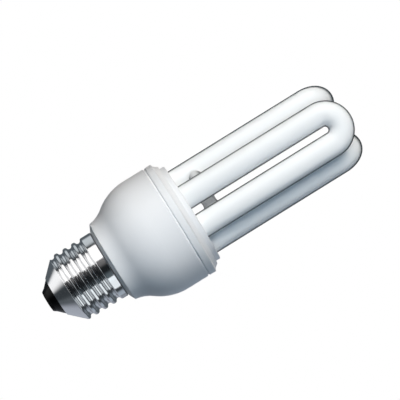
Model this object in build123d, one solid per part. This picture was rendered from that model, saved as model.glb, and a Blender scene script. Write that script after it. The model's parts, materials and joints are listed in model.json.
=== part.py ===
from build123d import *
import math
import os

# Compact fluorescent lamp: a screw cap, a two-part ballast housing and three U tubes joined by bridges.
# Lengths are millimetres. The lamp's axis is +Z from the cap up to the tubes, and the origin is the middle
# of the centre contact's face.

# Centre contact and the glass insulator that holds it
CONTACT_R = 3.2
CONTACT_PROUD = 0.1
CONTACT_SINK = 0.8
CONTACT_EDGE = 0.1
EYELET_R = 1.2
EYELET_PROUD = 0.6
INSULATOR_END_R = 3.95
INSULATOR_NOSE_R = 4.85
INSULATOR_NOSE_H = 1.25
INSULATOR_CONE_H = 2.4
INSULATOR_PLUG_H = 2.4
INSULATOR_EDGE = 0.2

# Screw shell, with its rounded thread between a cone and a plain skirt
SHELL_MOUTH_R = 7.65
SHELL_MOUTH_STEP = 0.38
SHELL_CONE_ANGLE = 44.0
SHELL_WALL = 0.5
THREAD_R = 13.265
THREAD_DEPTH = 1.25
THREAD_PITCH = 3.629
THREAD_H = 14.85
THREAD_START_ANGLE = -128.0
THREAD_LAND = 0.7
SKIRT_H = 2.97
SKIRT_EDGE = 0.2

# Ballast housing: a neck in the shell, and a bowl with a slanted foot, an ogee side and a straight band
SHELL_GAP = 0.15
NECK_FIT = 0.1
NECK_WALL = 1.3
NECK_H = 13.25
FOOT_R = 13.45
RIM_R = 15.85
RIM_H = 1.2
BODY_R = 22.5
BODY_WALL = 1.4
BOWL_H = 28.15
BAND_H = 8.75
SHOULDER_R = 19.7
SHOULDER_ANGLE = 38.0
SEAM_BEVEL = 0.5
RIM_EDGE = 0.3
RIB_COUNT = 4
RIB_T = 1.6
RIB_REACH = 2.6
RIB_H = 7.0

# Cover that snaps into the housing and carries the tubes
COVER_FIT = 0.12
SPIGOT_H = 4.0
SPIGOT_WALL = 1.3
SNAP_UP = 2.0
SNAP_H = 1.0
SNAP_BEAD = 0.3
SNAP_FIT = 0.1
COVER_BAND_H = 2.9
COVER_STEP = 1.0
COVER_STEP_H = 0.4
COVER_CONE_H = 1.45
COVER_LEDGE = 1.0
COVER_EDGE = 0.3
LIP_R = 19.4
LIP_H = 1.95
LIP_EDGE = 0.3
PLATE_T = 1.5
COVER_WALL = 1.4
TUBE_FIT = 0.15

# Discharge tube: three U bends round the axis, joined in a row by two bridges
TUBE_R = 4.7
LEG_SPACING = 11.7
U_OFFSET = 10.95
TUBE_RISE = 65.9
TUBE_INSET = 6.4
U_COUNT = 3
FIRST_U_ANGLE = 30.0
BRIDGE_R = 2.7
BRIDGE_UP = 7.6
BRIDGE_FILLET = 1.5
LEG_END_FILLET = 2.2
PINCH_W = 6.2
PINCH_T = 2.2
PINCH_H = 1.8
CEMENT_H = 2.5
CEMENT_FIT = 0.2

# Circuit board and the parts that hang from it into the bowl
BOARD_T = 1.6
BOARD_FIT = 0.5
BOARD_CLEAR = 0.3
CENTRE_CLEAR = 1.3
ROW_CLEAR = 1.0
CAPACITOR_R = 5.0
CAPACITOR_H = 16.0
CAPACITOR_GROOVE = 0.5
CAPACITOR_EDGE = 0.6
CHOKE_W = 12.6
CHOKE_D = 5.6
CHOKE_H = 10.5
CHOKE_YOKE = 2.0
CHOKE_SIDE = 2.2
CHOKE_LEG = 3.4
WINDING_FIT = 0.1
WINDING_EDGE = 1.5
TOROID_R = 4.5
TOROID_HOLE_R = 2.3
TOROID_H = 4.2
TOROID_X = -4.6
TOROID_TURNS = 3
TOROID_TURN_ANGLE = 45.0
TOROID_WIRE = 0.4
TRANSISTOR_R = 2.4
TRANSISTOR_FLAT = 1.3
TRANSISTOR_H = 4.8
TRANSISTOR_XS = (4.7, 10.5)
FILM_EDGE = 0.5
RESONANT_W = 10.0
RESONANT_D = 5.0
RESONANT_H = 9.0
RESONANT_X = 6.6
COUPLING_W = 7.0
COUPLING_D = 4.0
COUPLING_H = 7.5
COUPLING_X = -4.2
DIODE_R = 1.35
DIODE_H = 5.2
DIODE_SPACING = 4.0
DIODE_COUNT = 4

# Fuse resistor, wires and the posts that take the tube's leads
FUSE_R = 1.4
FUSE_WAIST_R = 1.1
FUSE_CAP_H = 1.4
FUSE_H = 7.0
FUSE_UP = 6.0
WIRE_R = 0.4
SHELL_WIRE_X = 0.9
SHELL_WIRE_CLEAR = 0.35
SHELL_WIRE_DROP = 1.6
SHELL_WIRE_BEND = 1.6
LEAD_R = 0.3
LEAD_SPACING = 2.8
POST_W = 0.8
POST_H = 2.0

# Heights along the axis, worked up from the contact's face
z_end = CONTACT_PROUD
z_seat = z_end + CONTACT_SINK
z_nose = z_end + INSULATOR_NOSE_H
z_mouth = z_nose + INSULATOR_CONE_H
z_plug = z_mouth + INSULATOR_PLUG_H
z_eyelet = z_plug + EYELET_PROUD
cone_slope = math.tan(math.radians(SHELL_CONE_ANGLE))
root_r = THREAD_R - THREAD_DEPTH
z_root = z_mouth + (root_r - SHELL_MOUTH_R) / cone_slope
z_skirt = z_root + THREAD_H
z_shell = z_skirt + SKIRT_H
z_body = z_shell + SHELL_GAP
z_neck = z_body - NECK_H
z_rim = z_body + RIM_H
z_floor = z_rim + BODY_WALL
z_seam = z_body + BOWL_H
z_band = z_seam - BAND_H
z_spigot = z_seam - SPIGOT_H
z_snap = z_spigot + SNAP_UP
z_cover_band = z_seam + COVER_BAND_H
z_step = z_cover_band + COVER_STEP_H
z_lip = z_step + COVER_CONE_H
z_cover = z_lip + LIP_H
z_plate = z_cover - PLATE_T
z_cement = z_plate - CEMENT_H
z_bridge = z_cover + BRIDGE_UP
z_tip = z_cover + TUBE_RISE
z_bend = z_tip - LEG_SPACING / 2 - TUBE_R
z_leg = z_cover - TUBE_INSET
z_pinch = z_leg - PINCH_H
z_board_top = z_spigot - BOARD_CLEAR
z_board = z_board_top - BOARD_T
z_fuse = z_eyelet + FUSE_UP
z_shell_wire = z_neck - SHELL_WIRE_DROP

# Radii that follow from the walls and fits
cone_wall = SHELL_WALL / math.cos(math.radians(SHELL_CONE_ANGLE))
mouth_bore = SHELL_MOUTH_R - cone_wall
plug_r = mouth_bore + INSULATOR_PLUG_H * cone_slope
shell_bore = root_r - SHELL_WALL
z_bore = z_mouth + (shell_bore - mouth_bore) / cone_slope
neck_r = shell_bore - NECK_FIT
neck_bore = neck_r - NECK_WALL
shell_wire_r = neck_bore - SHELL_WIRE_CLEAR - WIRE_R
body_bore = BODY_R - BODY_WALL
spigot_r = body_bore - COVER_FIT
spigot_bore = spigot_r - SPIGOT_WALL
snap_r = spigot_r + SNAP_BEAD
lip_bore = LIP_R - COVER_WALL
board_r = body_bore - BOARD_FIT
winding_w = CHOKE_W - 2 * CHOKE_SIDE - 2 * WINDING_FIT
winding_wrap = (winding_w - CHOKE_LEG) / 2
winding_d = CHOKE_D + 2 * winding_wrap
row_y = max(winding_d / 2, CAPACITOR_R) + ROW_CLEAR
diode_y = -row_y - max(RESONANT_D, COUPLING_D) - ROW_CLEAR - DIODE_R


def turned(outline, corners=(), edge=0.0):
    """Sweep a closed half section, drawn as (radius, height), about the lamp's axis, some corners rounded."""
    section = make_face(outline)
    if corners:
        section = fillet([section.vertices().sort_by_distance(corner)[0] for corner in corners], edge)
    return revolve(Plane.XZ * section, Axis.Z)


def bar(radius, bottom, top, x=0.0, y=0.0):
    """A round bar along Z between two heights."""
    return Pos(x, y, bottom) * Cylinder(radius, top - bottom, align=(Align.CENTER, Align.CENTER, Align.MIN))


def hung_block(width, depth, height, edge, x, y):
    """A block with rounded lower edges whose flat top sits on the underside of the circuit board."""
    block = Pos(x, y, z_board) * Box(width, depth, height, align=(Align.CENTER, Align.CENTER, Align.MAX))
    top = block.faces().sort_by(Axis.Z)[-1]
    rounded = block.edges() - top.edges()
    return fillet(rounded, edge)


def leg_places():
    """Centres of the tube's legs as (x, y) pairs, one pair for each U, in the order that the gas passes."""
    pairs = []
    for index in range(U_COUNT):
        angle = FIRST_U_ANGLE + index * 360 / U_COUNT
        pairs.append([(U_OFFSET, side * LEG_SPACING / 2, angle) for side in (-1, 1)])
    return [[(Rot(0, 0, angle) * Pos(r, t, 0)).position for r, t, angle in pair] for pair in pairs]


legs = leg_places()
electrode_legs = (legs[0][0], legs[-1][1])
electrode_angles = (FIRST_U_ANGLE, FIRST_U_ANGLE + (U_COUNT - 1) * 360 / U_COUNT)


def centre_contact():
    """Contact disc with a round edge, on an eyelet that goes up through the insulator."""
    disc = bar(CONTACT_R, 0, z_seat)
    disc = fillet(disc.edges().group_by(Axis.Z)[0], CONTACT_EDGE)
    return disc + bar(EYELET_R, z_seat, z_eyelet)


def cap_insulator():
    """Glass plug that fills the shell's mouth, its nose a step inside the shell's cone."""
    outline = Polyline(
        (0, z_end), (INSULATOR_END_R, z_end), (INSULATOR_NOSE_R, z_nose),
        (SHELL_MOUTH_R - SHELL_MOUTH_STEP, z_mouth), (mouth_bore, z_mouth), (plug_r, z_plug), (0, z_plug),
        close=True)
    corners = ((INSULATOR_END_R, z_end), (INSULATOR_NOSE_R, z_nose))
    plug = turned(outline, corners, INSULATOR_EDGE)
    return plug - bar(CONTACT_R, z_end, z_seat) - bar(EYELET_R, z_seat, z_plug)


def thread_radius(offset):
    """Radius at an axial offset from the crest: two equal arcs that meet halfway down the flank."""
    quarter = THREAD_PITCH / 4
    arc = (quarter ** 2 + (THREAD_DEPTH / 2) ** 2) / THREAD_DEPTH
    if offset < quarter:
        return THREAD_R - arc + math.sqrt(arc ** 2 - offset ** 2)
    rest = THREAD_PITCH / 2 - offset
    return root_r + arc - math.sqrt(arc ** 2 - rest ** 2)


def thread_groove():
    """The cutter for the groove: its rounded section carried up a helix, and a round pit where it ends."""
    quarter = THREAD_PITCH / 4
    past_land = THREAD_LAND / 4
    edge = THREAD_PITCH / 2 - past_land
    edge_r = thread_radius(past_land)
    flank_r = thread_radius((past_land + quarter) / 2)
    middle_r = (THREAD_R + root_r) / 2
    foot_r = thread_radius(3 * quarter / 2)
    outside_r = THREAD_R + THREAD_DEPTH
    upper = Line((outside_r, edge), (edge_r, edge))
    upper += ThreePointArc((edge_r, edge), (flank_r, (edge + quarter) / 2), (middle_r, quarter))
    upper += ThreePointArc((middle_r, quarter), (foot_r, quarter / 2), (root_r, 0))
    mouth = Line((outside_r, edge), (outside_r, -edge))
    section = make_face(upper + mirror(upper, Plane.XZ) + mouth)
    bottom = z_root - THREAD_PITCH / 2
    rise = z_skirt - bottom
    groove = sweep(Plane.XZ * section, path=Helix(THREAD_PITCH, rise, root_r), is_frenet=True)
    half_section = make_face(upper + Polyline((root_r, 0), (outside_r, 0), (outside_r, edge)))
    pit = Plane.XZ * revolve(half_section, Axis.X)
    start = Pos(0, 0, bottom) * Rot(0, 0, THREAD_START_ANGLE)
    end = start * Pos(0, 0, rise) * Rot(0, 0, rise / THREAD_PITCH * 360)
    return start * groove, end * pit


def screw_shell():
    """Rolled shell: a cone that cuts the thread's start, the thread, and the skirt its groove ends in."""
    crest_r = thread_radius(THREAD_LAND / 2)
    z_crest = z_mouth + (crest_r - SHELL_MOUTH_R) / cone_slope
    blank = Polyline(
        (0, z_mouth), (SHELL_MOUTH_R, z_mouth), (crest_r, z_crest), (crest_r, z_shell), (0, z_shell),
        close=True)
    hollow = Polyline(
        (0, z_mouth), (mouth_bore, z_mouth), (shell_bore, z_bore), (shell_bore, z_shell), (0, z_shell),
        close=True)
    shell = turned(blank, [(crest_r, z_shell)], SKIRT_EDGE)
    for cutter in thread_groove():
        shell -= cutter
    return shell - turned(hollow)


def bowl_side(inset, bottom):
    """The bowl's ogee, set in from the outside: a round shoulder below the band, then a hollow flare."""
    turn = math.radians(SHOULDER_ANGLE)
    radius = SHOULDER_R - inset
    centre_r = BODY_R - SHOULDER_R
    bend = (centre_r + radius * math.cos(turn), z_band - radius * math.sin(turn))
    shoulder = TangentArc((BODY_R - inset, z_band), bend, tangent=(0, -1))
    flare = TangentArc(bend, (RIM_R - inset, bottom), tangent=(-math.sin(turn), -math.cos(turn)))
    return shoulder + flare


def bowl_outline():
    """Closed half section of the bowl's outside, as a solid of revolution has it."""
    foot = Polyline((0, z_seam), (0, z_body), (FOOT_R, z_body), (RIM_R, z_rim))
    band = Polyline(
        (BODY_R, z_band), (BODY_R, z_seam - SEAM_BEVEL), (BODY_R - SEAM_BEVEL, z_seam), (0, z_seam))
    return foot + bowl_side(0, z_rim) + band


def bowl_hollow():
    """Closed half section of the bowl's inside, with the groove that the cover's bead snaps into."""
    groove_r = snap_r + SNAP_FIT
    low = z_snap - SNAP_FIT
    high = z_snap + SNAP_H + SNAP_FIT
    wall = Polyline(
        (body_bore, z_band), (body_bore, low), (groove_r, low), (groove_r, high), (body_bore, high),
        (body_bore, z_seam), (0, z_seam), (0, z_floor), (RIM_R - BODY_WALL, z_floor))
    return wall + bowl_side(BODY_WALL, z_floor)


def ballast_housing():
    """Moulded bowl and neck, with ribs inside whose tops carry the circuit board."""
    outside = turned(bowl_outline(), ((FOOT_R, z_body), (RIM_R, z_rim)), RIM_EDGE)
    shell = outside - turned(bowl_hollow())
    reach = board_r - RIB_REACH
    rib = Pos(reach, 0, z_board) * Box(
        BODY_R - reach, RIB_T, RIB_H, align=(Align.MIN, Align.CENTER, Align.MAX))
    for index in range(RIB_COUNT):
        shell += (Rot(0, 0, (index + 0.5) * 360 / RIB_COUNT) * rib) & outside
    return shell + bar(neck_r, z_neck, z_floor) - bar(neck_bore, z_neck, z_floor)


def tube_cover():
    """Cover with a snap spigot, a stepped cone and a lipped plate that the tube's legs pass through."""
    spigot = [(spigot_bore, z_spigot), (spigot_r, z_spigot), (spigot_r, z_snap),
              (snap_r, z_snap + SNAP_H / 2), (spigot_r, z_snap + SNAP_H), (spigot_r, z_seam)]
    outside = [(BODY_R - SEAM_BEVEL, z_seam), (BODY_R, z_seam + SEAM_BEVEL), (BODY_R, z_cover_band),
               (BODY_R - COVER_STEP, z_step), (LIP_R + COVER_LEDGE, z_lip), (LIP_R, z_lip),
               (LIP_R, z_cover - LIP_EDGE), (LIP_R - LIP_EDGE, z_cover), (0, z_cover)]
    inside = [(0, z_plate), (lip_bore, z_plate), (spigot_bore, z_cover_band - COVER_STEP_H)]
    cover = turned(Polyline(*spigot, *outside, *inside, close=True), [(BODY_R, z_cover_band)], COVER_EDGE)
    for pair in legs:
        for leg in pair:
            cover -= bar(TUBE_R + TUBE_FIT, z_plate, z_cover, leg.X, leg.Y)
    return cover


def u_tube(pair):
    """One U: two legs with closed, rounded ends and a half-circle bend between them."""
    first, second = (Vector(leg.X, leg.Y, 0) for leg in pair)
    up = Vector(0, 0, 1)
    apex = (first + second) * 0.5 + up * (z_bend + LEG_SPACING / 2)
    start = first + up * z_leg
    path = Line(start, first + up * z_bend)
    path += ThreePointArc(first + up * z_bend, apex, second + up * z_bend)
    path += Line(second + up * z_bend, second + up * z_leg)
    tube = sweep(Plane(start, z_dir=up) * Circle(TUBE_R), path=path)
    return fillet(tube.edges().group_by(Axis.Z)[0], LEG_END_FILLET)


def discharge_tube():
    """The fused glass tube, phosphor inside: the Us, the bridges that join them and the electrode pinches."""
    tube = Part()
    for pair in legs:
        tube += u_tube(pair)
    for index in range(U_COUNT - 1):
        near = legs[index][1] + Vector(0, 0, z_bridge)
        far = legs[index + 1][0] + Vector(0, 0, z_bridge)
        span = far - near
        bridge = Plane(near, z_dir=span) * Cylinder(
            BRIDGE_R, span.length, align=(Align.CENTER, Align.CENTER, Align.MIN))
        tube += bridge
    seams = tube.edges().filter_by_position(Axis.Z, z_bridge - BRIDGE_R, z_bridge + BRIDGE_R)
    tube = fillet(seams, BRIDGE_FILLET)
    for leg, angle in zip(electrode_legs, electrode_angles):
        pinch = Box(PINCH_T, PINCH_W, PINCH_H + LEG_END_FILLET, align=(Align.CENTER, Align.CENTER, Align.MIN))
        tube += Pos(leg.X, leg.Y, z_pinch) * Rot(0, 0, angle) * pinch
    return tube


def tube_cement():
    """Cement layer under the cover's plate that holds the legs."""
    cement = bar(lip_bore - CEMENT_FIT, z_cement, z_plate)
    for pair in legs:
        for leg in pair:
            cement -= bar(TUBE_R, z_cement, z_plate, leg.X, leg.Y)
    return cement


def circuit_board():
    """Round board that rests on the housing's ribs."""
    return bar(board_r, z_board, z_board_top)


def smoothing_capacitor():
    """Electrolytic can: a sleeve with a rolled groove near the seal and a rounded far end."""
    can = bar(CAPACITOR_R, z_board - CAPACITOR_H, z_board, CENTRE_CLEAR + CAPACITOR_R)
    can = fillet(can.edges().group_by(Axis.Z)[0], CAPACITOR_EDGE)
    groove = Pos(CENTRE_CLEAR + CAPACITOR_R, 0, z_board - 2 * CAPACITOR_GROOVE) * Torus(
        CAPACITOR_R + CAPACITOR_GROOVE / 2, CAPACITOR_GROOVE)
    return can - groove


choke_x = -CENTRE_CLEAR - CHOKE_W / 2


def choke_core():
    """Ferrite core of two E halves: yokes at the ends, two outer legs and a middle leg."""
    core = Pos(choke_x, 0, z_board) * Box(
        CHOKE_W, CHOKE_D, CHOKE_H, align=(Align.CENTER, Align.CENTER, Align.MAX))
    window_w = (CHOKE_W - 2 * CHOKE_SIDE - CHOKE_LEG) / 2
    window = Box(window_w, CHOKE_D, CHOKE_H - 2 * CHOKE_YOKE)
    for side in (-1, 1):
        core -= Pos(choke_x + side * (CHOKE_LEG + window_w) / 2, 0, z_board - CHOKE_H / 2) * window
    return core


def choke_winding():
    """Wound bobbin round the core's middle leg."""
    height = CHOKE_H - 2 * CHOKE_YOKE - 2 * WINDING_FIT
    coil = Box(winding_w, winding_d, height)
    coil = fillet(coil.edges().filter_by(Axis.Z), min(WINDING_EDGE, winding_wrap))
    coil -= Box(CHOKE_LEG + 2 * WINDING_FIT, CHOKE_D + 2 * WINDING_FIT, height)
    return Pos(choke_x, 0, z_board - CHOKE_H / 2) * coil


toroid_place = Pos(TOROID_X, row_y + TOROID_R + TOROID_WIRE, z_board - TOROID_WIRE - TOROID_H)


def toroid_core():
    """Ferrite ring of the drive transformer."""
    ring = bar(TOROID_R, 0, TOROID_H) - bar(TOROID_HOLE_R, 0, TOROID_H)
    return toroid_place * ring


def toroid_winding():
    """Three windings on the ring, each a closed sleeve of wire round its section."""
    ring = Polyline(
        (TOROID_HOLE_R, 0), (TOROID_R, 0), (TOROID_R, TOROID_H), (TOROID_HOLE_R, TOROID_H), close=True)
    inner_r = TOROID_HOLE_R - TOROID_WIRE
    outer_r = TOROID_R + TOROID_WIRE
    top = TOROID_H + TOROID_WIRE
    sleeve = Polyline(
        (inner_r, -TOROID_WIRE), (outer_r, -TOROID_WIRE), (outer_r, top), (inner_r, top), close=True)
    section = Plane.XZ * (make_face(sleeve) - make_face(ring))
    coil = revolve(section, Axis.Z, TOROID_TURN_ANGLE)
    coils = [Rot(0, 0, index * 360 / TOROID_TURNS) * coil for index in range(TOROID_TURNS)]
    return toroid_place * Compound(children=coils)


def switching_transistors():
    """Two moulded packages, round with one flat side."""
    cut = Pos(0, TRANSISTOR_FLAT, 0) * Box(
        2 * TRANSISTOR_R, TRANSISTOR_R, TRANSISTOR_H, align=(Align.CENTER, Align.MIN, Align.MIN))
    package = bar(TRANSISTOR_R, 0, TRANSISTOR_H) - cut
    y = row_y + TRANSISTOR_R
    return Compound(children=[Pos(x, y, z_board - TRANSISTOR_H) * package for x in TRANSISTOR_XS])


def resonant_capacitor():
    """Dipped film capacitor across the tube."""
    return hung_block(RESONANT_W, RESONANT_D, RESONANT_H, FILM_EDGE, RESONANT_X, -row_y - RESONANT_D / 2)


def coupling_capacitor():
    """Dipped film capacitor in series with the choke."""
    return hung_block(COUPLING_W, COUPLING_D, COUPLING_H, FILM_EDGE, COUPLING_X, -row_y - COUPLING_D / 2)


def rectifier_diodes():
    """Four diodes that stand on the board in a row."""
    first = -(DIODE_COUNT - 1) / 2 * DIODE_SPACING
    return Compound(children=[bar(DIODE_R, z_board - DIODE_H, z_board, first + index * DIODE_SPACING, diode_y)
                              for index in range(DIODE_COUNT)])


def fuse_resistor():
    """Fusible resistor in line with the contact's wire: end caps and a narrower body."""
    body = bar(FUSE_WAIST_R, z_fuse, z_fuse + FUSE_H)
    for bottom in (z_fuse, z_fuse + FUSE_H - FUSE_CAP_H):
        body += bar(FUSE_R, bottom, bottom + FUSE_CAP_H)
    return body


def contact_wire():
    """Wire from the contact's eyelet to the fuse resistor, and on from there to the board."""
    return Compound(children=[bar(WIRE_R, z_eyelet, z_fuse), bar(WIRE_R, z_fuse + FUSE_H, z_board)])


def shell_wire():
    """Wire that meets the shell's wall below the neck, turns up inside the neck and ends at the board."""
    y = math.sqrt(shell_wire_r ** 2 - SHELL_WIRE_X ** 2)
    wall_y = math.sqrt(shell_bore ** 2 - (SHELL_WIRE_X + WIRE_R) ** 2)
    path = FilletPolyline((SHELL_WIRE_X, wall_y, z_shell_wire), (SHELL_WIRE_X, y, z_shell_wire),
                          (SHELL_WIRE_X, y, z_board), radius=SHELL_WIRE_BEND)
    return sweep(Plane(path @ 0, z_dir=path % 0) * Circle(WIRE_R), path=path)


def lead_places():
    """Places of the electrode leads, two to a leg, and the directions along each pair."""
    places = []
    for leg, angle in zip(electrode_legs, electrode_angles):
        along = Vector(0, 1, 0).rotate(Axis.Z, angle)
        places += [(leg + along * (side * LEAD_SPACING / 2), along * side) for side in (-1, 1)]
    return places


def electrode_leads():
    """Lead wires from the tube's pinches down to the board, beside their posts."""
    return Compound(children=[bar(LEAD_R, z_board_top, z_pinch, place.X, place.Y)
                              for place, _ in lead_places()])


def wrap_posts():
    """Square posts on the board that the leads are wrapped to."""
    posts = []
    for place, along in lead_places():
        seat = place + along * (LEAD_R + POST_W / 2)
        turn = math.degrees(math.atan2(along.Y, along.X))
        post = Box(POST_W, POST_W, POST_H, align=(Align.CENTER, Align.CENTER, Align.MIN))
        posts.append(Pos(seat.X, seat.Y, z_board_top) * Rot(0, 0, turn) * post)
    return Compound(children=posts)


PIECES = (
    centre_contact, cap_insulator, screw_shell, ballast_housing, tube_cover, discharge_tube, tube_cement,
    circuit_board, smoothing_capacitor, choke_core, choke_winding, toroid_core, toroid_winding,
    switching_transistors, resonant_capacitor, coupling_capacitor, rectifier_diodes, fuse_resistor,
    contact_wire, shell_wire, electrode_leads, wrap_posts,
)

os.makedirs("parts", exist_ok=True)
for piece in PIECES:
    export_step(piece(), os.path.join("parts", piece.__name__ + ".step"))
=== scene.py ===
import json
import logging
import math
from dataclasses import dataclass
from enum import Enum

import bmesh
import bpy
import numpy as np
from mathutils import Matrix, Vector

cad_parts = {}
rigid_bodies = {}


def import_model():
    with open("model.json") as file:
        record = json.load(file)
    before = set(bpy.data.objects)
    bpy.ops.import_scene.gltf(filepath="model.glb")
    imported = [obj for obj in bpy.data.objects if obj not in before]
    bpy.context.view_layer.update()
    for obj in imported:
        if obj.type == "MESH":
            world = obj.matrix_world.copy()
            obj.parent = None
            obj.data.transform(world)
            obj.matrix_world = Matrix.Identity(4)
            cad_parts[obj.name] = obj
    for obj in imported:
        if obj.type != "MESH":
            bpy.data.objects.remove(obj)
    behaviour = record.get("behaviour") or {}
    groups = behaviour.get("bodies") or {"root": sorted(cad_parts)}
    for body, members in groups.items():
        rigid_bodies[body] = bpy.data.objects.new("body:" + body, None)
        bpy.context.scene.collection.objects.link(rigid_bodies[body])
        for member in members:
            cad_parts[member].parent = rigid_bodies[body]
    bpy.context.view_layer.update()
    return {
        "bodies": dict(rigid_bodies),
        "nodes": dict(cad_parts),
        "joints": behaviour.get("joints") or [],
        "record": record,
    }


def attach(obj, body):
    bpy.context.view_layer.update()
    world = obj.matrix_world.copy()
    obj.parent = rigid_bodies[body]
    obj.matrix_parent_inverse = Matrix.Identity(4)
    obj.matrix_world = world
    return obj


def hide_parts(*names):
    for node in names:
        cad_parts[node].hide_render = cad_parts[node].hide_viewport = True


# Looks of a compact fluorescent lamp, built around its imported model.
# Sizes are millimetres until a mesh, a lamp or the camera takes them, and then metres.

MM = 0.001
WELD_MM = 0.001
BODY = "root"
UP = np.array([0.0, 0.0, 1.0])
WHITE = (1.0, 1.0, 1.0, 1.0)
# Sockets of the Mix node where it mixes colours; other kinds of value share their names.
MIX_FACTOR, MIX_FIRST, MIX_SECOND, MIX_RESULT = 0, 6, 7, 2
Links = dict[str | int, bpy.types.NodeSocket]
log = logging.getLogger("lamp")


def linear(hex_colour: str) -> tuple[float, float, float, float]:
    """Turns an sRGB hex colour into the linear colour that shaders take, by the sRGB curve.

    Args:
        hex_colour: six hex digits, red first.

    Returns:
        Red, green and blue in linear light, and an alpha of one.
    """
    coded = np.array([int(hex_colour[k:k + 2], 16) for k in (0, 2, 4)]) / 255
    plain = np.where(coded <= 0.04045, coded / 12.92, ((coded + 0.055) / 1.055) ** 2.4)
    return (*plain.tolist(), 1.0)


def cells(rows: int, columns: int, loop: bool = False) -> np.ndarray:
    """Corner numbers of the four-cornered cells between closed rings of points.

    Args:
        rows: how many rings there are, one after the other.
        columns: how many points a ring has.
        loop: whether the last ring joins the first.

    Returns:
        An array of cells of shape (rows, columns, 4), or one row less where the rings don't loop.
    """
    index = np.arange(rows * columns).reshape(rows, columns)
    if loop:
        index = np.vstack([index, index[:1]])
    index = np.hstack([index, index[:, :1]])
    return np.stack([index[:-1, :-1], index[:-1, 1:], index[1:, 1:], index[1:, :-1]], axis=-1)


def soft_max(a: np.ndarray, b: np.ndarray, blend: float) -> np.ndarray:
    """The larger of two heights, with a parabola across their crossing in place of the crease.

    Args:
        a: the first heights.
        b: the second heights.
        blend: the difference in height over which the parabola runs.

    Returns:
        The blended heights.
    """
    share = np.clip(0.5 + 0.5 * (a - b) / blend, 0, 1)
    return b + (a - b) * share + blend * share * (1 - share)


class Surface:
    """A mesh in the making: grids of points and their cells, welded where they meet."""

    def __init__(self) -> None:
        """Starts with no points and no cells."""
        self.points: list[np.ndarray] = []
        self.faces: list[np.ndarray] = []
        self.count = 0

    def add(self, grid: np.ndarray, faces: np.ndarray) -> None:
        """Adds one grid.

        Args:
            grid: its points in millimetres, with the coordinates in the last axis.
            faces: its cells, numbered from the grid's own first point.
        """
        flat = grid.reshape(-1, 3)
        self.points.append(flat)
        self.faces.append(faces.reshape(-1, 4) + self.count)
        self.count += len(flat)

    def piece(self, name: str, replaced: str, sharp_deg: float) -> bpy.types.Object:
        """Welds the grids into one closed mesh that stands for a CAD node.

        Args:
            name: the piece's name.
            replaced: the CAD node that the piece stands for.
            sharp_deg: edges that turn by more than this many degrees stay sharp.

        Returns:
            The mesh object, riding on the lamp's one body.
        """
        mesh = bpy.data.meshes.new(name)
        mesh.from_pydata(np.concatenate(self.points) * MM, [], np.concatenate(self.faces))
        work = bmesh.new()
        work.from_mesh(mesh)
        bmesh.ops.remove_doubles(work, verts=work.verts, dist=WELD_MM * MM)
        bmesh.ops.recalc_face_normals(work, faces=work.faces)
        work.to_mesh(mesh)
        work.free()
        mesh.shade_smooth()
        mesh.set_sharp_from_angle(angle=math.radians(sharp_deg))
        made = bpy.data.objects.new(name, mesh)
        bpy.context.scene.collection.objects.link(made)
        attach(made, BODY)
        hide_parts(replaced)
        log.info("%s: %d faces", name, len(mesh.polygons))
        return made


def node(tree: bpy.types.NodeTree, kind: str, links: Links | None = None,
         **settings: object) -> bpy.types.Node:
    """Adds a shader node with its settings and links.

    Args:
        tree: the node tree.
        kind: the node's type name, without the common first part.
        links: output sockets to join, by the name or number of this node's input.
        settings: values by name, for the node's own properties or else for its inputs.

    Returns:
        The new node.
    """
    made = tree.nodes.new("ShaderNode" + kind)
    for name, value in settings.items():
        if hasattr(made, name):
            setattr(made, name, value)
        else:
            made.inputs[name.replace("_", " ")].default_value = value
    for name, source in (links or {}).items():
        tree.links.new(source, made.inputs[name])
    return made


class Relief(Enum):
    """How the fine relief of a finish runs."""

    GRAIN = "even grain"
    TURNS = "turns of wire"


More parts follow.
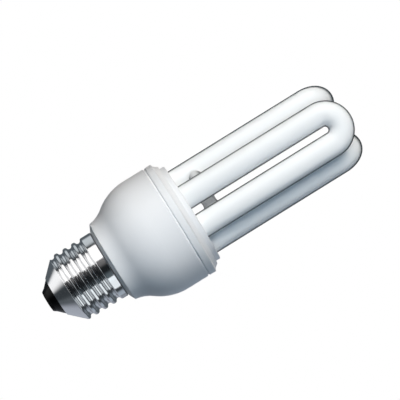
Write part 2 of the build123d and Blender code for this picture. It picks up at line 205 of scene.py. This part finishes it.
@dataclass(frozen=True)
class Finish:
    """One real material's finish: two close tones, a gloss that wanders, and a fine relief.

    The colour is a soft mottle between the two tones, the roughness follows the same mottle, and
    the relief is noise or bands of one real size, as a bump of a real height.
    """

    name: str
    tone: str
    other_tone: str
    mottle_mm: float
    relief_mm: float
    relief_height_mm: float
    roughness: float
    roughness_spread: float
    metallic: float = 0.0
    ior: float = 1.5
    relief: Relief = Relief.GRAIN

    def relief_height(self, tree: bpy.types.NodeTree,
                      place: bpy.types.NodeSocket) -> bpy.types.NodeSocket:
        """Draws the relief's pattern.

        Args:
            tree: the material's node tree.
            place: object coordinates.

        Returns:
            The socket that carries the relief's height, from zero to one.
        """
        per_metre = 1 / (self.relief_mm * MM)
        if self.relief is Relief.TURNS:
            bands = node(tree, "TexWave", {"Vector": place}, bands_direction="Z",
                         Scale=per_metre / (2 * math.pi))
            return bands.outputs["Fac"]
        noise = node(tree, "TexNoise", {"Vector": place}, Scale=per_metre, Detail=2.0)
        return noise.outputs["Fac"]

    def tones(self, tree: bpy.types.NodeTree, mottle: bpy.types.NodeSocket) -> bpy.types.NodeSocket:
        """Mixes the two tones by the mottle.

        Args:
            tree: the material's node tree.
            mottle: the mottle, from zero to one.

        Returns:
            The socket that carries the colour.
        """
        mix = node(tree, "Mix", {MIX_FACTOR: mottle}, data_type="RGBA")
        mix.inputs[MIX_FIRST].default_value = linear(self.tone)
        mix.inputs[MIX_SECOND].default_value = linear(self.other_tone)
        return mix.outputs[MIX_RESULT]

    def material(self) -> bpy.types.Material:
        """Makes the material.

        Returns:
            The new material, all of it procedural and on object coordinates.
        """
        made = bpy.data.materials.new(self.name)
        made.use_nodes = True
        tree = made.node_tree
        shader = tree.nodes["Principled BSDF"]
        place = node(tree, "TexCoord").outputs["Object"]
        mottle = node(tree, "TexNoise", {"Vector": place}, Scale=1 / (self.mottle_mm * MM),
                      Detail=3.0).outputs["Fac"]
        gloss = node(tree, "MapRange", {"Value": mottle},
                     To_Min=self.roughness - self.roughness_spread,
                     To_Max=self.roughness + self.roughness_spread)
        bump = node(tree, "Bump", {"Height": self.relief_height(tree, place)},
                    Distance=self.relief_height_mm * MM)
        tree.links.new(self.tones(tree, mottle), shader.inputs["Base Color"])
        tree.links.new(gloss.outputs["Result"], shader.inputs["Roughness"])
        tree.links.new(bump.outputs["Normal"], shader.inputs["Normal"])
        shader.inputs["Metallic"].default_value = self.metallic
        if not self.metallic:
            shader.inputs["IOR"].default_value = self.ior
        return made


@dataclass(frozen=True)
class CoatedGlass(Finish):
    """Clear drawn glass with a white powder coating inside.

    Its colour carries a painted shade: where the tube is seen edge on, a dark grey line is laid
    over the coating in place of the dark reflections of the clear wall.
    """

    edge_shade_tone: str = "1E262C"
    edge_shade_start: float = 0.44
    edge_shade_full: float = 0.74

    def material(self) -> bpy.types.Material:
        """Makes the material.

        Returns:
            The finish's own material, with the painted shade line laid over its colour at the
            edges.
        """
        made = super().material()
        tree = made.node_tree
        shader = tree.nodes["Principled BSDF"]
        coating = shader.inputs["Base Color"].links[0].from_socket
        # Painted shade: the facing angle darkens the coating towards a dark tone, as a line at the
        # tube's edges.
        facing = node(tree, "LayerWeight", Blend=0.5).outputs["Facing"]
        wall = node(tree, "MapRange", {"Value": facing}, interpolation_type="SMOOTHSTEP",
                    From_Min=self.edge_shade_start, From_Max=self.edge_shade_full)
        colour = node(tree, "Mix", {MIX_FACTOR: wall.outputs["Result"], MIX_FIRST: coating},
                      data_type="RGBA")
        colour.inputs[MIX_SECOND].default_value = linear(self.edge_shade_tone)
        tree.links.new(colour.outputs[MIX_RESULT], shader.inputs["Base Color"])
        return made


# Nickel plate on rolled steel: a bright mirror, a little uneven from the rolling.
NICKEL_PLATE = Finish(
    "nickel_plated_rolled_steel", "E2E2E3", "D9DADC", mottle_mm=5.0, relief_mm=2.4,
    relief_height_mm=0.0015, roughness=0.12, roughness_spread=0.02, metallic=1.0)
# Black cap glass, pressed hot: deep black, with a soft gloss so faint that its IOR is set low.
CAP_GLASS = Finish(
    "black_pressed_glass", "020202", "040405", mottle_mm=3.0, relief_mm=0.8,
    relief_height_mm=0.001, roughness=0.22, roughness_spread=0.03, ior=1.16)
# Tin over brass: dull grey metal with a soft grain.
TINNED_BRASS = Finish(
    "tinned_brass_contact", "9C9B98", "86857F", mottle_mm=1.5, relief_mm=0.3,
    relief_height_mm=0.002, roughness=0.38, roughness_spread=0.06, metallic=1.0)
# Moulded white plastic: a fine spark-eroded satin that blurs and dulls every reflection, so its
# IOR is set low.
HOUSING_PLASTIC = Finish(
    "satin_moulded_white_plastic", "E7E7E9", "E3E3E5", mottle_mm=14.0, relief_mm=0.35,
    relief_height_mm=0.004, roughness=0.44, roughness_spread=0.03, ior=1.3)
# Drawn glass over white phosphor: chalk white under a hard gloss.
TUBE_GLASS = CoatedGlass(
    "phosphor_coated_drawn_glass", "F0F1F2", "EDEEEF", mottle_mm=16.0, relief_mm=7.0,
    relief_height_mm=0.002, roughness=0.05, roughness_spread=0.02)
INNER_FINISHES = {
    # Lamp cement, cast: chalky and pitted.
    Finish(
        "cast_lamp_cement", "DAD6CB", "CFCABD", mottle_mm=4.0, relief_mm=0.4,
        relief_height_mm=0.03, roughness=0.9, roughness_spread=0.05,
    ): ("tube_cement",),
    # Phenolic paper board, pressed: brown and dull, with a fibrous mottle.
    Finish(
        "pressed_phenolic_board", "B48A52", "A27A45", mottle_mm=2.5, relief_mm=0.5,
        relief_height_mm=0.01, roughness=0.6, roughness_spread=0.08,
    ): ("circuit_board",),
    # Shrunk film sleeve: nearly black with a plain gloss.
    Finish(
        "shrunk_capacitor_sleeve", "23262F", "1E2129", mottle_mm=5.0, relief_mm=1.0,
        relief_height_mm=0.004, roughness=0.28, roughness_spread=0.05,
    ): ("smoothing_capacitor",),
    # Ferrite, pressed and ground: dark grey and matt.
    Finish(
        "ground_ferrite", "3B3B3E", "333336", mottle_mm=1.5, relief_mm=0.15,
        relief_height_mm=0.006, roughness=0.6, roughness_spread=0.08,
    ): ("choke_core", "toroid_core"),
    # Enamelled copper wire, wound: fine turns with a warm gloss.
    Finish(
        "wound_enamelled_copper", "B4652F", "A5572A", mottle_mm=3.0, relief_mm=0.4,
        relief_height_mm=0.08, roughness=0.3, roughness_spread=0.05, metallic=1.0,
        relief=Relief.TURNS,
    ): ("choke_winding", "toroid_winding"),
    # Moulded epoxy: black and dull.
    Finish(
        "moulded_black_epoxy", "26262A", "202024", mottle_mm=2.0, relief_mm=0.2,
        relief_height_mm=0.008, roughness=0.5, roughness_spread=0.06,
    ): ("switching_transistors", "rectifier_diodes"),
    # Dipped epoxy: red brown with a runny gloss.
    Finish(
        "dipped_capacitor_epoxy", "A0492F", "933F28", mottle_mm=3.0, relief_mm=1.5,
        relief_height_mm=0.03, roughness=0.22, roughness_spread=0.05,
    ): ("resonant_capacitor", "coupling_capacitor"),
    # Lacquer on ceramic: buff and half gloss.
    Finish(
        "lacquered_ceramic_rod", "CBBF9A", "BFB28C", mottle_mm=1.5, relief_mm=0.5,
        relief_height_mm=0.01, roughness=0.4, roughness_spread=0.06,
    ): ("fuse_resistor",),
    # Tinned copper: pale metal, drawn smooth.
    Finish(
        "tinned_copper_wire", "C9C8C3", "B9B7B0", mottle_mm=1.0, relief_mm=0.2,
        relief_height_mm=0.002, roughness=0.3, roughness_spread=0.06, metallic=1.0,
    ): ("contact_wire", "shell_wire", "electrode_leads", "wrap_posts"),
}


@dataclass
class ScrewShell:
    """The cap's rolled shell: a cone, then a rounded thread that ends in the plain skirt."""

    mouth_r: float = 7.65
    mouth_z: float = 3.75
    cone_deg: float = 44.0
    wall: float = 0.5
    crest_r: float = 13.265
    land_r: float = 13.2
    depth: float = 1.25
    pitch: float = 3.629
    thread_h: float = 14.85
    start_deg: float = -128.0
    skirt_h: float = 2.97
    skirt_edge: float = 0.45
    land_blend: float = 0.06
    cone_blend: float = 0.4
    rows: int = 400
    columns: int = 192
    sharp_deg: float = 40.0

    @property
    def root_r(self) -> float:
        """Radius at the bottom of the groove."""
        return self.crest_r - self.depth

    @property
    def slope(self) -> float:
        """How far the cone widens for each millimetre up."""
        return math.tan(math.radians(self.cone_deg))

    @property
    def root_z(self) -> float:
        """Height at which the cone is as wide as the bottom of the groove."""
        return self.mouth_z + (self.root_r - self.mouth_r) / self.slope

    @property
    def skirt_z(self) -> float:
        """Height at which the groove ends."""
        return self.root_z + self.thread_h

    @property
    def end_z(self) -> float:
        """Height of the skirt's edge."""
        return self.skirt_z + self.skirt_h

    def groove(self, away: np.ndarray) -> np.ndarray:
        """Radius at a distance from the middle of the groove.

        Two equal arcs, one about the groove's bottom and one about the crest, meet halfway up the
        flank. Past half a pitch the crest goes on, and a flat land takes off its top.

        Args:
            away: distances from the groove's middle.

        Returns:
            The radius at each distance.
        """
        quarter = self.pitch / 4
        arc = (quarter ** 2 + (self.depth / 2) ** 2) / self.depth
        low = self.root_r + arc - np.sqrt(np.maximum(arc ** 2 - away ** 2, 0))
        rest = np.clip(2 * quarter - away, 0, arc)
        high = self.crest_r - arc + np.sqrt(arc ** 2 - rest ** 2)
        land = np.full_like(away, self.land_r)
        return -soft_max(-np.where(away < quarter, low, high), -land, self.land_blend)

    def outside(self, angle: np.ndarray, z: np.ndarray) -> np.ndarray:
        """Radius of the shell's outside.

        Each point belongs to the nearest turn of the groove's helix, and its distance is taken
        along the axis. Past the helix's end it is the distance from that end, so the groove ends
        in a round pit. The cone cuts the thread, with the crease blended, and the skirt's edge is
        a quarter circle.

        Args:
            angle: angles round the axis, in radians.
            z: heights along the axis.

        Returns:
            The radius at each point.
        """
        start = self.root_z - self.pitch / 2
        last = (self.skirt_z - start) / self.pitch
        turns = (angle - math.radians(self.start_deg)) / (2 * math.pi)
        turns = turns + np.round((z - start) / self.pitch - turns)
        past = np.maximum(turns - last, 0) * 2 * math.pi * self.land_r
        along = np.abs(z - start - self.pitch * turns)
        away = np.where(past > 0, np.hypot(z - self.skirt_z, past), along)
        cone = self.mouth_r + (z - self.mouth_z) * self.slope
        radius = -soft_max(-cone, -self.groove(away), self.cone_blend)
        past_edge = np.maximum(z - self.end_z + self.skirt_edge, 0)
        edge = np.sqrt(np.maximum(self.skirt_edge ** 2 - past_edge ** 2, 0))
        return radius - self.skirt_edge + edge

    def build(self) -> bpy.types.Object:
        """Builds the shell: the outside as radius over angle and height, and the plain bore inside.

        Returns:
            The piece.
        """
        angle = np.linspace(0, 2 * math.pi, self.columns, endpoint=False)
        turn, height = np.meshgrid(angle, np.linspace(self.mouth_z, self.end_z, self.rows))
        bore_r = self.root_r - self.wall
        mouth_bore = self.mouth_r - self.wall / math.cos(math.radians(self.cone_deg))
        bore_z = self.mouth_z + (bore_r - mouth_bore) / self.slope
        bore = np.array([(bore_r, self.end_z), (bore_r, bore_z), (mouth_bore, self.mouth_z)])
        rings = np.repeat(bore[:, :, None], self.columns, axis=2)
        radius = np.vstack([self.outside(turn, height), rings[:, 0]])
        height = np.vstack([height, rings[:, 1]])
        grid = np.stack([radius * np.cos(angle), radius * np.sin(angle), height], axis=-1)
        surface = Surface()
        surface.add(grid, cells(*radius.shape, loop=True))
        shell = surface.piece("screw_shell_rolled", "screw_shell",
                              self.sharp_deg)
        shell.data.materials.append(NICKEL_PLATE.material())
        return shell


@dataclass
class DischargeTube:
    """The glass tube: U bends round the axis, joined in a row by short bridges."""

    tube_r: float = 4.7
    leg_spacing: float = 11.7
    u_offset: float = 10.95
    u_angles: tuple[float, ...] = (30.0, 150.0, 270.0)
    leg_z: float = 54.69
    bend_z: float = 116.44
    end_fillet: float = 2.2
    bridge_z: float = 68.69
    bridge_r: float = 2.7
    bridge_fillet: float = 1.5
    pinch_w: float = 6.2
    pinch_t: float = 2.2
    pinch_h: float = 1.8
    columns: int = 96
    end_rings: int = 8
    lower_rings: int = 4
    upper_rings: int = 8
    bend_rings: int = 48
    patch_columns: int = 32
    patch_rows: int = 20
    patch_h: float = 11.2
    patch_middle_deg: float = -60.0
    patch_rings: int = 5
    fillet_rings: int = 11
    pinch_columns: int = 48
    pinch_power: float = 0.25
    sharp_deg: float = 50.0

    def frame(self, index: int) -> tuple[np.ndarray, np.ndarray, np.ndarray]:
        """The axes of one U.

        Args:
            index: which U.

        Returns:
            Unit vectors outwards from the lamp's axis, across from the first leg to the second,
            and up.
        """
        turn = math.radians(self.u_angles[index])
        outward = np.array([math.cos(turn), math.sin(turn), 0.0])
        across = np.array([-math.sin(turn), math.cos(turn), 0.0])
        return outward, across, UP

    def leg(self, index: int, side: int) -> np.ndarray:
        """The foot of a leg's centre line; side is -1 for the first leg and 1 for the second."""
        outward, across, _ = self.frame(index)
        return outward * self.u_offset + across * side * self.leg_spacing / 2

    def leg_heights(self) -> np.ndarray:
        """Heights of the rings up a leg.

        Returns:
            Heights that are close and even in the patch that a bridge joins, and few elsewhere.
        """
        low, high = self.bridge_z - self.patch_h / 2, self.bridge_z + self.patch_h / 2
        below = np.linspace(self.leg_z + self.end_fillet, low, self.lower_rings + 1)[:-1]
        patch = np.linspace(low, high, self.patch_rows + 1)
        above = np.linspace(high, self.bend_z, self.upper_rings + 1)[1:]
        return np.concatenate([below, patch, above])

    def u_rings(self, index: int) -> tuple[np.ndarray, np.ndarray, np.ndarray]:
        """Rings of one U: up the first leg, over a half circle and down the second.

        The closed ends are quarter circles of the fillet's radius, and then a flat disc.

        Args:
            index: which U.

        Returns:
            The rings' centres, their radii, and the unit vectors in the U's plane that point away
            from its inside.
        """
        outward, across, up = self.frame(index)
        turn = np.linspace(math.pi / 2, 0, self.end_rings + 1)[:-1]
        end_r = self.tube_r - self.end_fillet * (1 - np.cos(turn))
        end_z = self.leg_z + self.end_fillet * (1 - np.sin(turn))
        heights = self.leg_heights()
        z = np.concatenate([[self.leg_z], end_z, heights])
        radius = np.concatenate([[0.0], end_r, np.full(len(heights), self.tube_r)])
        bend = np.linspace(0, math.pi, self.bend_rings + 1)[1:-1]
        half = self.leg_spacing / 2
        sweep = np.concatenate([np.zeros(len(z)), bend, np.full(len(z), math.pi)])
        away = -np.cos(sweep)[:, None] * across + np.sin(sweep)[:, None] * up
        base = np.concatenate([z, np.full(len(bend), self.bend_z), z[::-1]])
        lift = np.where((sweep > 0) & (sweep < math.pi), 1.0, 0.0)
        rise = lift * np.sin(sweep) * half
        centre = outward * self.u_offset + base[:, None] * up
        centre = centre - np.cos(sweep)[:, None] * across * half + rise[:, None] * up
        radii = np.concatenate([radius, np.full(len(bend), self.tube_r), radius[::-1]])
        return centre, radii, away

    def add_u(self, surface: Surface, index: int) -> None:
        """Adds one U to the surface, less the patches where bridges leave its legs.

        A point is the ring's centre plus its radius times the unit vector at the angle round the
        ring.

        Args:
            surface: the mesh in the making.
            index: which U.
        """
        outward, _, _ = self.frame(index)
        centre, radii, away = self.u_rings(index)
        angle = np.linspace(0, 2 * math.pi, self.columns, endpoint=False)
        cos, sin = np.cos(angle)[None, :, None], np.sin(angle)[None, :, None]
        around = cos * away[:, None, :] + sin * outward
        grid = centre[:, None, :] + radii[:, None, None] * around
        faces = cells(*grid.shape[:2])
        rows, columns = np.meshgrid(np.arange(len(faces)), np.arange(self.columns), indexing="ij")
        middle = (centre[rows, 2] + centre[rows + 1, 2]) / 2
        step = 360 / self.columns
        turned = ((columns + 0.5) * step - self.patch_middle_deg + 180) % 360 - 180
        in_height = np.abs(middle - self.bridge_z) < self.patch_h / 2
        in_angle = np.abs(turned) < self.patch_columns * step / 2
        first = rows < len(faces) / 2
        joined_first, joined_second = index > 0, index < len(self.u_angles) - 1
        joined = (first & joined_first) | (~first & joined_second)
        hole = in_height & in_angle & joined
        surface.add(grid, faces[~hole])

    def patch_edge(self) -> tuple[np.ndarray, np.ndarray]:
        """The edge of a bridge's patch on an unrolled leg, once round.

        Returns:
            Angles about the leg from the bridge's direction, in radians, and heights from the
            bridge's middle.
        """
        half_c, half_r = self.patch_columns // 2, self.patch_rows // 2
        across, up = np.arange(-half_c, half_c), np.arange(-half_r, half_r)
        right, top = np.full(len(up), half_c), np.full(len(across), half_r)
        column = np.concatenate([across, right, -across, -right])
        row = np.concatenate([-top, up, top, -up])
        return column * 2 * math.pi / self.columns, row * self.patch_h / self.patch_rows

    def bridge_end(self, start: np.ndarray, along: np.ndarray, side: np.ndarray) -> np.ndarray:
        """Half of a bridge: a patch of the leg, then a fillet, up to where it is a plain tube.

        A ball of the fillet's radius rolls round the joint. Its middle lies one ball radius
        outside both the leg and the bridge, and the fillet is the arc between the two points that
        it touches. On the unrolled leg, the patch runs straight from the arc's lower end to the
        patch's edge.

        Args:
            start: the leg's centre at the bridge's height.
            along: unit vector along the bridge, away from the leg.
            side: level unit vector across the bridge.

        Returns:
            Points of shape (rings, points round the edge, 3), from the patch's edge to the bridge.
        """
        edge_angle, edge_z = self.patch_edge()
        phi = np.arctan2(edge_z / edge_z.max(), edge_angle / edge_angle.max())
        ball = self.bridge_fillet
        level = (self.bridge_r + ball) * np.cos(phi)
        height = (self.bridge_r + ball) * np.sin(phi)
        reach = np.sqrt((self.tube_r + ball) ** 2 - level ** 2)
        touch_angle = np.arctan2(level, reach)
        share = np.linspace(1, 0, self.patch_rings + 1)[:-1, None]
        angle = share * edge_angle + (1 - share) * touch_angle
        z = share * edge_z + (1 - share) * height
        patch = np.stack([self.tube_r * np.cos(angle), self.tube_r * np.sin(angle), z], axis=-1)
        middle = np.stack([reach, level, height], axis=-1)
        to_leg = -np.stack([np.cos(touch_angle), np.sin(touch_angle), np.zeros_like(phi)], axis=-1)
        to_bridge = -np.stack([np.zeros_like(phi), np.cos(phi), np.sin(phi)], axis=-1)
        span = np.arccos(np.clip(np.sum(to_leg * to_bridge, axis=-1), -1, 1))[None, :, None]
        t = np.linspace(0, 1, self.fillet_rings)[:, None, None]
        arc = (np.sin((1 - t) * span) * to_leg + np.sin(t * span) * to_bridge) / np.sin(span)
        local = np.concatenate([patch, middle + ball * arc])
        return start + local[..., :1] * along + local[..., 1:2] * side + local[..., 2:] * UP

    def add_bridge(self, surface: Surface, index: int) -> None:
        """Adds the bridge from one U's second leg to the next U's first leg.

        Args:
            surface: the mesh in the making.
            index: the first of the two Us.
        """
        lift = self.bridge_z * UP
        near = self.leg(index, 1) + lift
        far = self.leg(index + 1, -1) + lift
        along = (far - near) / np.linalg.norm(far - near)
        side = np.cross(UP, along)
        far_end = self.bridge_end(far, -along, side)
        grid = np.concatenate([self.bridge_end(near, along, side), far_end[::-1]])
        surface.add(grid, cells(*grid.shape[:2]))

    def add_pinch(self, surface: Surface, index: int, side: int) -> None:
        """Adds the flat pinch under an electrode leg: a squared oval carried straight up.

        The oval is an ellipse whose cosine and sine are raised to a low power, and both ends are
        closed.

        Args:
            surface: the mesh in the making.
            index: which U.
            side: which of its legs.
        """
        outward, across, up = self.frame(index)
        angle = np.linspace(0, 2 * math.pi, self.pinch_columns, endpoint=False)
        cos, sin = np.cos(angle), np.sin(angle)
        wide = self.pinch_w / 2 * np.sign(cos) * np.abs(cos) ** self.pinch_power
        thin = self.pinch_t / 2 * np.sign(sin) * np.abs(sin) ** self.pinch_power
        ring = wide[:, None] * across + thin[:, None] * outward
        low, high = self.leg_z - self.pinch_h, self.leg_z + self.end_fillet
        share = np.array([0.0, 1.0, 1.0, 0.0])[:, None, None]
        z = np.array([low, low, high, high])[:, None, None]
        grid = self.leg(index, side) + share * ring + z * up
        surface.add(grid, cells(*grid.shape[:2]))

    def build(self) -> bpy.types.Object:
        """Builds the tube.

        Returns:
            The piece.
        """
        surface = Surface()
        last = len(self.u_angles) - 1
        for index in range(len(self.u_angles)):
            self.add_u(surface, index)
        for index in range(last):
            self.add_bridge(surface, index)
        self.add_pinch(surface, 0, -1)
        self.add_pinch(surface, last, 1)
        tube = surface.piece("discharge_tube_glass", "discharge_tube",
                             self.sharp_deg)
        tube.data.materials.append(TUBE_GLASS.material())
        return tube


@dataclass
class CadPieces:
    """The CAD nodes whose own shapes stay, and the finishes that they get."""

    frame: dict

    def dress(self) -> None:
        """Gives each node that stays the material of its finish."""
        finishes = {
            CAP_GLASS: ("cap_insulator",),
            TINNED_BRASS: ("centre_contact",),
            HOUSING_PLASTIC: ("ballast_housing", "tube_cover"),
            **INNER_FINISHES,
        }
        for finish, names in finishes.items():
            material = finish.material()
            for name in names:
                for place in self.frame["nodes"][name].material_slots:
                    place.material = material
                log.info("%s: %s", name, finish.name)


def direction(azimuth_deg: float, elevation_deg: float) -> Vector:
    """A unit vector from its azimuth and its elevation.

    Args:
        azimuth_deg: degrees round the lamp's axis, zero towards -Y, the camera's side, and 90
            towards -X.
        elevation_deg: degrees above the level.

    Returns:
        The unit vector.
    """
    azimuth, elevation = math.radians(azimuth_deg), math.radians(elevation_deg)
    level = math.cos(elevation)
    return Vector((-math.sin(azimuth) * level, -math.cos(azimuth) * level, math.sin(elevation)))


class Reach(Enum):
    """What a light panel acts on."""

    SHADE = "shading alone"
    SHINE = "reflections alone"


@dataclass(frozen=True)
class Panel:
    """A soft light panel that faces the lamp's middle."""

    name: str
    azimuth_deg: float
    elevation_deg: float
    radiance: float
    colour: str
    reach: Reach
    width: float = 420.0
    height: float = 420.0
    distance: float = 600.0
    middle_z: float = 62.0

    def build(self) -> None:
        """Hangs the panel; its power is its radiance times pi times its area."""
        outward = direction(self.azimuth_deg, self.elevation_deg)
        light = bpy.data.lights.new(self.name, "AREA")
        light.shape = "RECTANGLE"
        light.size = self.width * MM
        light.size_y = self.height * MM
        light.energy = self.radiance * math.pi * light.size * light.size_y
        light.color = linear(self.colour)[:3]
        lamp = bpy.data.objects.new(self.name, light)
        lamp.location = (outward * self.distance + Vector((0.0, 0.0, self.middle_z))) * MM
        lamp.rotation_mode = "QUATERNION"
        lamp.rotation_quaternion = (-outward).to_track_quat("-Z", "Y")
        lamp.visible_diffuse = self.reach is Reach.SHADE
        lamp.visible_glossy = self.reach is Reach.SHINE
        lamp.visible_camera = False
        bpy.context.scene.collection.objects.link(lamp)


@dataclass(frozen=True)
class Card:
    """A pale card in the room that shows in reflections: a soft round spot of the surroundings."""

    azimuth_deg: float
    elevation_deg: float
    half_deg: float
    soft_deg: float
    level: float
    colour: str

    def glow(self, tree: bpy.types.NodeTree, way: bpy.types.NodeSocket) -> bpy.types.NodeSocket:
        """Draws the card on the surroundings.

        Args:
            tree: the world's node tree.
            way: the direction of sight.

        Returns:
            The socket that carries the card's light in that direction.
        """
        near = node(tree, "VectorMath", {0: way}, operation="DOT_PRODUCT")
        near.inputs[1].default_value = direction(self.azimuth_deg, self.elevation_deg)
        spot = node(tree, "MapRange", {"Value": near.outputs["Value"]},
                    interpolation_type="SMOOTHSTEP",
                    From_Min=math.cos(math.radians(self.half_deg + self.soft_deg)),
                    From_Max=math.cos(math.radians(self.half_deg)), To_Max=self.level)
        light = node(tree, "VectorMath", {"Scale": spot.outputs["Result"]}, operation="SCALE")
        light.inputs[0].default_value = linear(self.colour)[:3]
        return light.outputs["Vector"]


@dataclass
class Studio:
    """Camera, light panels, white surroundings and a pale floor."""

    camera_at: tuple[float, float, float] = (-2.28, -700.0, 44.27)
    look_at: tuple[float, float, float] = (-2.28, 0.0, 65.85)
    picture_up: tuple[float, float, float] = (-0.85, 0.0, 0.527)
    lens: float = 175.0
    sensor: float = 36.0
    clip_near: float = 10.0
    clip_far: float = 100000.0
    floor_z: float = -75.0
    floor_r: float = 110.0
    floor_fade: float = 0.35
    floor_rows: int = 13
    floor_columns: int = 96
    floor_colour: str = "F2F2F2"
    floor_roughness: float = 0.9
    ambient: float = 0.03
    ambient_colour: str = "D9ECFF"
    room_front: float = 0.02
    room_back: float = 0.16
    room_front_y: float = -0.4
    room_back_y: float = 0.7
    room_colour: str = "D6E6F2"
    # Azimuth, elevation, radiance, colour, reach and size of each panel.
    panels: tuple[Panel, ...] = (
        Panel("key_softbox", 26.0, 22.0, 6.9, "FFF9F0", Reach.SHADE),
        Panel("front_softbox", 1.0, 3.0, 2.3, "BCE2FF", Reach.SHADE),
        Panel("side_softbox", -142.0, 4.0, 3.5, "E2F0FF", Reach.SHADE),
        Panel("rear_softbox", 176.0, 24.0, 5.8, "FFFBF7", Reach.SHADE),
        Panel("left_softbox", 53.5, -10.0, 1.4, "FFFEFC", Reach.SHINE, width=600.0, height=2400.0),
        Panel("right_softbox", -60.5, 0.0, 1.15, "F2F9FC", Reach.SHINE, width=497.0, height=600.0),
    )
    # Azimuth, elevation, half width and soft edge in degrees, then level and colour of each card.
    cards: tuple[Card, ...] = (
        Card(113.0, 0.0, 11.0, 18.0, 0.65, "F0F7FA"),
        Card(-115.0, 0.0, 4.0, 14.0, 0.45, "DCEAFA"),
        Card(116.0, -60.0, 4.0, 20.0, 1.2, "FCFBFA"),
        Card(-147.0, -33.0, 18.0, 24.0, 0.45, "E4E8F6"),
        Card(0.0, -70.0, 4.0, 9.0, 0.9, "F0F7FA"),
        Card(-70.0, -62.0, 6.0, 14.0, 0.6, "E4EEF6"),
        Card(24.0, 0.0, 2.0, 22.0, 0.2, "F4F0F0"),
        Card(-36.0, 0.0, 2.0, 20.0, 0.15, "D0E8F4"),
    )

    def build_camera(self) -> None:
        """Sets the camera at the photograph's viewing angle, rolled so that the lamp slants."""
        eye, target = Vector(self.camera_at), Vector(self.look_at)
        ahead = (target - eye).normalized()
        right = ahead.cross(Vector(self.picture_up)).normalized()
        up = right.cross(ahead)
        data = bpy.data.cameras.new("camera")
        data.lens = self.lens
        data.sensor_width = self.sensor
        data.clip_start, data.clip_end = self.clip_near * MM, self.clip_far * MM
        camera = bpy.data.objects.new("camera", data)
        turn = Matrix((right, up, -ahead)).transposed().to_4x4()
        camera.matrix_world = Matrix.Translation(eye * MM) @ turn
        bpy.context.scene.collection.objects.link(camera)
        bpy.context.scene.camera = camera

    def build_world(self) -> None:
        """Sets the surroundings.

        The camera sees white, reflections see a dim room with pale cards, and the shading gets a
        faint cool sky.
        """
        world = bpy.data.worlds.new("studio")
        bpy.context.scene.world = world
        world.use_nodes = True
        tree = world.node_tree
        way = node(tree, "TexCoord").outputs["Generated"]
        apart = node(tree, "SeparateXYZ", {"Vector": way})
        room = node(tree, "MapRange", {"Value": apart.outputs["Y"]},
                    interpolation_type="SMOOTHSTEP", From_Min=self.room_front_y,
                    From_Max=self.room_back_y, To_Min=self.room_front, To_Max=self.room_back)
        tinted = node(tree, "VectorMath", {"Scale": room.outputs["Result"]}, operation="SCALE")
        tinted.inputs[0].default_value = linear(self.room_colour)[:3]
        glow = tinted.outputs["Vector"]
        for card in self.cards:
            added = node(tree, "VectorMath", {0: glow, 1: card.glow(tree, way)}, operation="ADD")
            glow = added.outputs["Vector"]
        path = node(tree, "LightPath").outputs
        seen = node(tree, "Math", {0: path["Is Glossy Ray"], 1: path["Is Transmission Ray"]},
                    operation="MAXIMUM").outputs["Value"]
        sky = [self.ambient * part for part in linear(self.ambient_colour)]
        lit = node(tree, "Mix", {MIX_FACTOR: seen, MIX_SECOND: glow}, data_type="RGBA")
        lit.inputs[MIX_FIRST].default_value = sky
        shown = node(tree, "Mix", {MIX_FACTOR: path["Is Camera Ray"],
                                   MIX_FIRST: lit.outputs[MIX_RESULT]}, data_type="RGBA")
        shown.inputs[MIX_SECOND].default_value = WHITE
        tree.links.new(shown.outputs[MIX_RESULT], tree.nodes["Background"].inputs["Color"])

    def build_floor(self) -> None:
        """Lays a round pale floor below the lamp, a polar grid whose faces point up.

        It fades out with the distance from the cap's contact. Reflections pass it by and show the
        room, as they do above it, and it doesn't show from below.
        """
        radius = np.linspace(0, self.floor_r, self.floor_rows)[:, None]
        angle = np.linspace(0, 2 * math.pi, self.floor_columns + 1)[None, :-1]
        level = np.full((self.floor_rows, self.floor_columns), self.floor_z)
        grid = np.stack([radius * np.cos(angle), radius * np.sin(angle), level], axis=-1)
        faces = cells(*level.shape).reshape(-1, 4)[:, ::-1]
        mesh = bpy.data.meshes.new("floor")
        mesh.from_pydata(grid.reshape(-1, 3) * MM, [], faces)
        floor = bpy.data.objects.new("floor", mesh)
        bpy.context.scene.collection.objects.link(floor)
        made = bpy.data.materials.new("pale_paper_floor")
        made.use_nodes = True
        tree = made.node_tree
        shader = tree.nodes["Principled BSDF"]
        shader.inputs["Base Color"].default_value = linear(self.floor_colour)
        shader.inputs["Roughness"].default_value = self.floor_roughness
        place = node(tree, "TexCoord").outputs["Object"]
        away = node(tree, "VectorMath", {0: place}, operation="LENGTH")
        fade = node(tree, "MapRange", {"Value": away.outputs["Value"]},
                    interpolation_type="SMOOTHSTEP",
                    From_Min=self.floor_r * self.floor_fade * MM, From_Max=self.floor_r * MM)
        reflected = node(tree, "LightPath").outputs["Is Glossy Ray"]
        below = node(tree, "NewGeometry").outputs["Backfacing"]
        unseen = node(tree, "Math", {0: reflected, 1: below}, operation="MAXIMUM")
        gone = node(tree, "Math", {0: fade.outputs["Result"], 1: unseen.outputs["Value"]},
                    operation="MAXIMUM")
        clear = node(tree, "BsdfTransparent")
        mix = node(tree, "MixShader", {0: gone.outputs["Value"], 1: shader.outputs["BSDF"],
                                       2: clear.outputs["BSDF"]})
        tree.links.new(mix.outputs["Shader"], tree.nodes["Material Output"].inputs["Surface"])
        mesh.materials.append(made)

    def build(self) -> None:
        """Builds the whole studio and sets the plain view transform."""
        self.build_camera()
        self.build_world()
        self.build_floor()
        for panel in self.panels:
            panel.build()
        bpy.context.scene.view_settings.view_transform = "Standard"


def main() -> None:
    """Loads the frame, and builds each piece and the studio."""
    logging.basicConfig(level=logging.INFO, format="%(name)s: %(message)s")
    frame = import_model()
    ScrewShell().build()
    DischargeTube().build()
    CadPieces(frame).dress()
    Studio().build()


if __name__ == "__main__":
    main()
